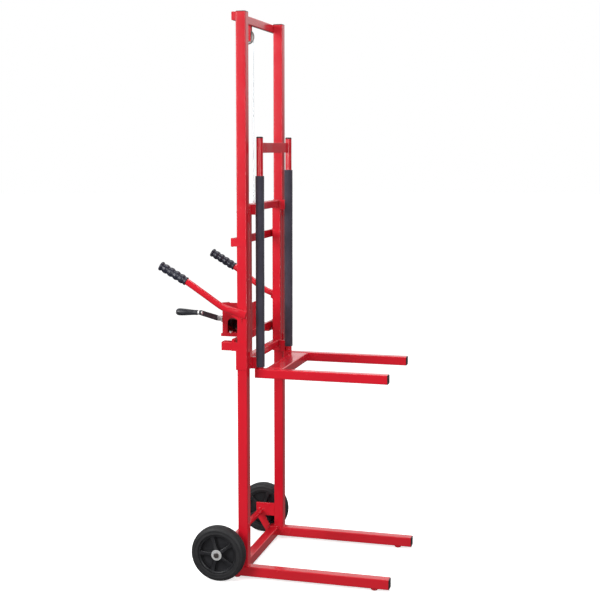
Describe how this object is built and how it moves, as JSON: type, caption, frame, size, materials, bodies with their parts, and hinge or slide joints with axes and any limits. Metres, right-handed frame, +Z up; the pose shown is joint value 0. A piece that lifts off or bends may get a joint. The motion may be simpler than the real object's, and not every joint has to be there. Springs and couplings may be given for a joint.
{
  "type": "board lifting trolley",
  "caption": "Two-post wheeled lifting trolley: a hand winch and wire rope raise a fork carriage with foam-padded uprights; push handles at the back",
  "frame": {"origin": "on the floor at the centre of the trolley's outline", "axes": "+X points forward along the forks and base legs, +Y to the machine's left, +Z up"},
  "size_m": [0.9174, 0.6938, 2.211],
  "materials": {
    "red_paint": "glossy red powder coat",
    "foam": "matt closed-cell foam",
    "black_plastic": "moulded black plastic",
    "black_rubber": "matt black rubber",
    "grip_plastic": "smooth black plastic",
    "tyre": "dark solid rubber",
    "rim_plastic": "dark moulded plastic",
    "wire_rope": "galvanised stranded wire",
    "greased_rope": "greased stranded wire",
    "cast_steel": "dull turned steel",
    "zinc_steel": "zinc plated",
    "black_steel": "black paint",
    "bush_brass": "turned bronze"
  },
  "bodies": {
    "frame": {"leg_near": "red_paint", "leg_far": "red_paint", "base_cross_tube": "red_paint", "frame_end_caps": "black_plastic", "foot_glides": "red_paint", "post_lower_near": "red_paint", "post_lower_far": "red_paint", "post_upper_near": "red_paint", "post_upper_far": "red_paint", "splice_spigots": "zinc_steel", "mast_top_bar": "red_paint", "rear_bars": "red_paint", "post_side_plates": "red_paint", "rest_stubs": "red_paint", "axle_brackets": "red_paint", "axle_tube": "red_paint", "axle": "zinc_steel", "axle_fasteners": "zinc_steel", "handle_tube_near": "red_paint", "handle_tube_far": "red_paint", "handle_grips": "black_rubber", "pulley_bracket": "red_paint", "frame_fasteners": "zinc_steel", "winch_shelf": "red_paint", "winch_frame": "red_paint", "winch_mount_plate": "red_paint", "drum_guard": "black_steel", "winch_bushes": "bush_brass", "wire_rope_rear": "wire_rope", "wire_rope_front": "wire_rope"},
    "carriage": {"carriage_side_tubes": "red_paint", "carriage_top_bar": "red_paint", "carriage_lower_bar": "red_paint", "upright_near": "red_paint", "upright_far": "red_paint", "foam_sleeve_near": "foam", "foam_sleeve_far": "foam", "fork_arm_near": "red_paint", "fork_arm_far": "red_paint", "fork_cross_tube": "red_paint", "carriage_end_caps": "black_plastic", "upright_spacers": "red_paint", "carriage_head_bar": "red_paint", "guide_shoes": "red_paint", "rope_anchor": "red_paint"},
    "drum": {"drum": "black_steel", "drum_gear": "black_steel", "rope_wound": "greased_rope"},
    "crank": {"pinion_shaft": "cast_steel", "ratchet_wheel": "zinc_steel", "crank_hub": "zinc_steel", "crank_arm": "black_steel", "grip_spindle": "zinc_steel"},
    "crank_grip": {"crank_grip": "grip_plastic"},
    "pawl": {"pawl": "zinc_steel"},
    "pulley": {"pulley_sheave": "cast_steel"},
    "wheel_near": {"tyre_near": "tyre", "wheel_rim_near": "rim_plastic"},
    "wheel_far": {"tyre_far": "tyre", "wheel_rim_far": "rim_plastic"}
  },
  "joints": [
    {"name": "crank_turn", "type": "hinge", "parent": "frame", "child": "crank", "pos_m": [-0.24728, -0.0426, 1.003], "axis": [-1, 0, 0], "range_deg": [-4742.7, 3819.6]},
    {"name": "carriage_lift", "type": "slide", "parent": "frame", "child": "carriage", "axis": [0, 0, 1], "range_m": [-0.745, 0.6], "deforming": ["wire_rope_front"]},
    {"name": "drum_spin", "type": "hinge", "parent": "frame", "child": "drum", "pos_m": [-0.22728, 0.01, 1.003], "axis": [1, 0, 0], "range_deg": [-1423.8, 1146.9]},
    {"name": "pulley_spin", "type": "hinge", "parent": "frame", "child": "pulley", "pos_m": [-0.18178, -0.02, 2.136], "axis": [0, -1, 0], "range_deg": [-1642.7, 1323.2]},
    {"name": "crank_grip_spin", "type": "hinge", "parent": "crank", "child": "crank_grip", "pos_m": [-0.36728, -0.2408, 1.05131], "axis": [1, 0, 0], "continuous": true},
    {"name": "pawl_throw", "type": "hinge", "parent": "frame", "child": "pawl", "pos_m": [-0.28478, -0.014, 1.03], "axis": [-1, 0, 0], "range_deg": [0, 25]},
    {"name": "wheel_near_spin", "type": "hinge", "parent": "frame", "child": "wheel_near", "pos_m": [-0.21528, -0.31, 0.11], "axis": [0, 1, 0], "continuous": true},
    {"name": "wheel_far_spin", "type": "hinge", "parent": "frame", "child": "wheel_far", "pos_m": [-0.21528, 0.31, 0.11], "axis": [0, 1, 0], "continuous": true}
  ],
  "couplings": [
    {"joint": "carriage_lift", "follows": "crank_turn", "m_per_rad": 0.009},
    {"joint": "drum_spin", "follows": "crank_turn", "ratio": 0.3},
    {"joint": "pulley_spin", "follows": "crank_turn", "ratio": 0.34615}
  ]
}
